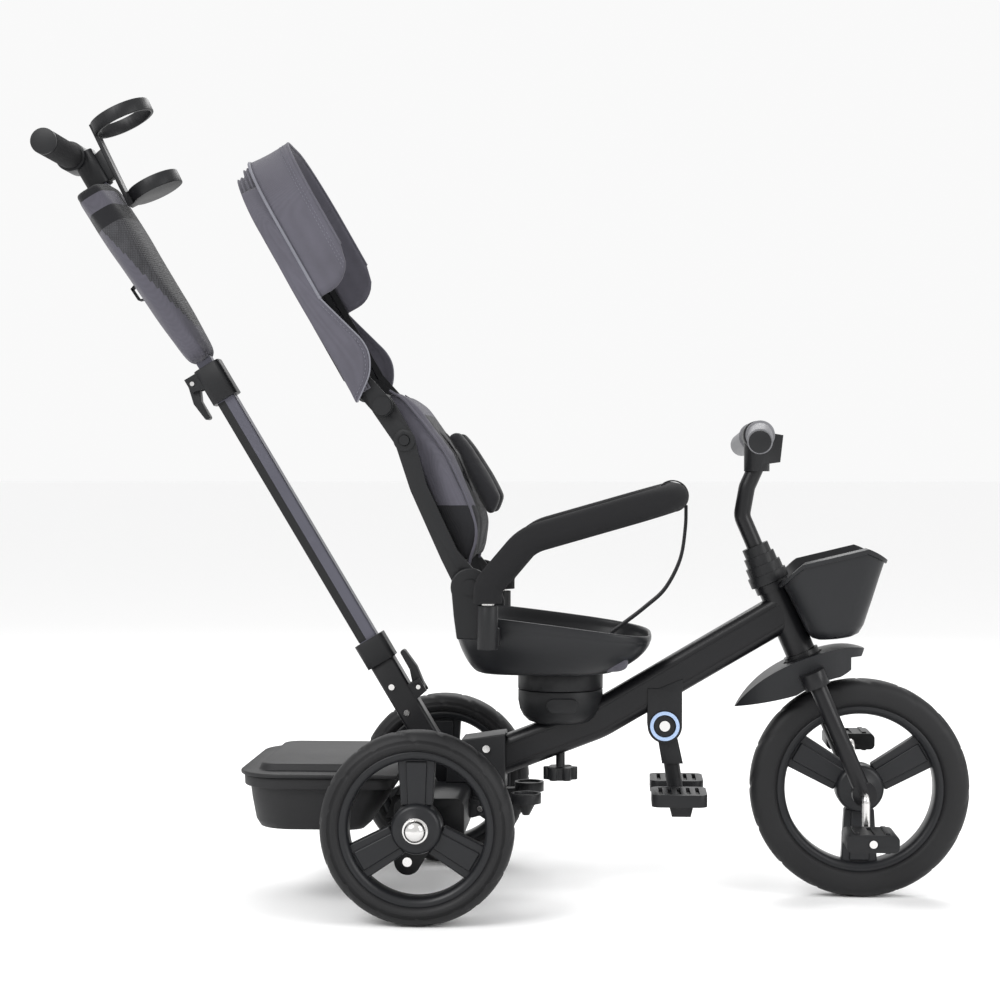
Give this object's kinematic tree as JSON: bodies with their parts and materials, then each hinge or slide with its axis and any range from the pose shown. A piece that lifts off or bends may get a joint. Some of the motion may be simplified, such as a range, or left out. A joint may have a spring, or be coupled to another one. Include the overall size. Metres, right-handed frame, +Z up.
{
  "type": "children's push tricycle",
  "caption": "Children's push tricycle with steered pedal front wheel, swivel seat with reclining back and folding canopy, safety bar, footrest, rear bin and parent push bar with cup holder.",
  "frame": {"origin": "on the floor, below the middle of the overall box", "axes": "+X is the way it rides, +Y the child's left, +Z up"},
  "size_m": [1.2227, 0.508, 1.0714],
  "materials": {
    "frame_paint": "satin black powder coat",
    "black_plastic": "fine-grained black",
    "seat_plastic": "smooth dark grey black",
    "bin_plastic": "textured dark grey",
    "rim_plastic": "smooth dark grey",
    "tyre": "moulded black tread",
    "bright_steel": "bright plated",
    "push_tube_aluminium": "lavender grey anodised",
    "grip_rubber": "pale grey soft grip",
    "foam": "closed-cell foam",
    "ring_blue": "pale blue",
    "grey_fabric": "woven lavender grey",
    "black_fabric": "woven black"
  },
  "bodies": {
    "frame": {"main_beam": "frame_paint", "head_tube": "frame_paint", "axle_housing": "black_plastic", "yoke_sleeve": "black_plastic", "rear_axle": "bright_steel", "frame_brackets": "black_plastic", "storage_bin": "bin_plastic", "handle_receiver": "frame_paint", "lower_push_tube": "push_tube_aluminium", "push_bar_collars": "black_plastic", "swivel_base": "black_plastic", "frame_fasteners": "bright_steel"},
    "steering": {"front_fork": "frame_paint", "steering_covers": "black_plastic", "handlebar": "frame_paint", "grips": "grip_rubber", "front_basket": "seat_plastic", "front_fender": "seat_plastic"},
    "front_wheel": {"front_tyre": "tyre", "front_rim": "rim_plastic", "crank_rod": "bright_steel"},
    "pedal_right": {"pedal_right": "black_plastic"},
    "pedal_left": {"pedal_left": "black_plastic"},
    "rear_wheel_right": {"rear_tyre_right": "tyre", "rear_rim_right": "rim_plastic"},
    "rear_wheel_left": {"rear_tyre_left": "tyre", "rear_rim_left": "rim_plastic"},
    "bin_lid": {"bin_lid": "bin_plastic"},
    "brake_pedal_right": {"brake_pedal_right": "black_plastic"},
    "brake_pedal_left": {"brake_pedal_left": "black_plastic"},
    "lower_lever": {"lower_lever": "black_plastic"},
    "upper_lever": {"upper_lever": "black_plastic"},
    "push_handle": {"upper_push_tube": "push_tube_aluminium", "handle_joint": "black_plastic", "handle_foam": "foam", "cup_holder": "black_plastic", "organiser_bag": "grey_fabric"},
    "seat": {"seat_fittings": "black_plastic", "seat_bucket": "seat_plastic", "recline_screws": "black_plastic", "seat_pad": "grey_fabric"},
    "swivel_button": {"swivel_button": "black_plastic"},
    "seat_knob": {"seat_knob": "black_plastic"},
    "safety_bar": {"safety_bar_tube": "bright_steel", "safety_bar_foam": "foam", "crotch_strap": "black_fabric"},
    "backrest": {"backrest_shell": "black_plastic", "backrest_cushion": "grey_fabric", "harness_pads": "black_fabric", "canopy_bow_rear": "black_plastic", "canopy_pins": "black_plastic", "canopy_hood_rear": "black_fabric"},
    "canopy_middle": {"canopy_bow_middle": "black_plastic", "canopy_hood_front": "black_fabric"},
    "canopy_front": {"canopy_bow_front": "black_plastic", "canopy_visor": "grey_fabric"},
    "canopy_button_left": {"canopy_button_left": "black_plastic"},
    "canopy_button_right": {"canopy_button_right": "black_plastic"},
    "footrest": {"footrest": "black_plastic"},
    "footrest_ring": {"footrest_ring": "ring_blue"}
  },
  "joints": [
    {"name": "steering_turn", "type": "hinge", "parent": "frame", "child": "steering", "pos_m": [0.466, 0, 0.145], "axis": [-0.3955, 0, 0.9184], "range_deg": [-30, 30]},
    {"name": "front_wheel_spin", "type": "hinge", "parent": "steering", "child": "front_wheel", "pos_m": [0.466, 0, 0.145], "axis": [0, 1, 0], "continuous": true},
    {"name": "pedal_right_spin", "type": "hinge", "parent": "front_wheel", "child": "pedal_right", "pos_m": [0.466, -0.127, 0.097], "axis": [0, 1, 0], "continuous": true},
    {"name": "pedal_left_spin", "type": "hinge", "parent": "front_wheel", "child": "pedal_left", "pos_m": [0.466, 0.127, 0.193], "axis": [0, 1, 0], "continuous": true},
    {"name": "rear_wheel_right_spin", "type": "hinge", "parent": "frame", "child": "rear_wheel_right", "pos_m": [-0.105, -0.212, 0.122], "axis": [0, 1, 0], "continuous": true},
    {"name": "rear_wheel_left_spin", "type": "hinge", "parent": "frame", "child": "rear_wheel_left", "pos_m": [-0.105, 0.212, 0.122], "axis": [0, 1, 0], "continuous": true},
    {"name": "bin_lid_open", "type": "hinge", "parent": "frame", "child": "bin_lid", "pos_m": [-0.137, 0, 0.1723], "axis": [0, 1, 0], "range_deg": [0, 50]},
    {"name": "brake_pedal_right_press", "type": "hinge", "parent": "frame", "child": "brake_pedal_right", "pos_m": [-0.036, -0.052, 0.122], "axis": [0, 1, 0], "range_deg": [0, 12]},
    {"name": "brake_pedal_left_press", "type": "hinge", "parent": "frame", "child": "brake_pedal_left", "pos_m": [-0.036, 0.052, 0.122], "axis": [0, 1, 0], "range_deg": [0, 12]},
    {"name": "lower_lever_open", "type": "hinge", "parent": "frame", "child": "lower_lever", "pos_m": [-0.12226, 0, 0.2767], "axis": [0, 1, 0], "range_deg": [0, 90]},
    {"name": "upper_lever_open", "type": "hinge", "parent": "frame", "child": "upper_lever", "pos_m": [-0.42773, 0, 0.68368], "axis": [0, 1, 0], "range_deg": [0, 90]},
    {"name": "push_handle_extend", "type": "slide", "parent": "frame", "child": "push_handle", "axis": [-0.512, 0, 0.859], "range_m": [0, 0.09]},
    {"name": "seat_swivel", "type": "hinge", "parent": "frame", "child": "seat", "pos_m": [0.068, 0, 0.275], "axis": [0, 0, 1], "range_deg": [0, 90]},
    {"name": "swivel_button_press", "type": "slide", "parent": "frame", "child": "swivel_button", "axis": [0, 1, 0], "range_m": [0, 0.0025], "stiffness_N_per_m": 400},
    {"name": "seat_knob_turn", "type": "hinge", "parent": "frame", "child": "seat_knob", "pos_m": [0.068, 0, 0.16], "axis": [0, 0, 1], "continuous": true},
    {"name": "safety_bar_lift", "type": "slide", "parent": "seat", "child": "safety_bar", "axis": [0, 0, 1], "range_m": [0, 0.03]},
    {"name": "backrest_recline", "type": "hinge", "parent": "seat", "child": "backrest", "pos_m": [-0.045, 0, 0.417], "axis": [0, 1, 0], "range_deg": [0, 18]},
    {"name": "canopy_middle_fold", "type": "hinge", "parent": "backrest", "child": "canopy_middle", "pos_m": [-0.158, 0, 0.65], "axis": [0, 1, 0], "range_deg": [0, 40]},
    {"name": "canopy_front_fold", "type": "hinge", "parent": "canopy_middle", "child": "canopy_front", "pos_m": [-0.158, 0, 0.65], "axis": [0, 1, 0], "range_deg": [0, 40]},
    {"name": "canopy_button_left_press", "type": "slide", "parent": "backrest", "child": "canopy_button_left", "axis": [0, -1, 0], "range_m": [0, 0.003], "stiffness_N_per_m": 400},
    {"name": "canopy_button_right_press", "type": "slide", "parent": "backrest", "child": "canopy_button_right", "axis": [0, 1, 0], "range_m": [0, 0.003], "stiffness_N_per_m": 400},
    {"name": "footrest_fold", "type": "hinge", "parent": "frame", "child": "footrest", "pos_m": [0.2075, 0, 0.227], "axis": [0, 1, 0], "range_deg": [0, 60]},
    {"name": "footrest_ring_press", "type": "slide", "parent": "frame", "child": "footrest_ring", "axis": [0, 1, 0], "range_m": [0, 0.002], "stiffness_N_per_m": 400}
  ],
  "couplings": [
    {"joint": "canopy_front_fold", "follows": "canopy_middle_fold", "ratio": 1}
  ]
}
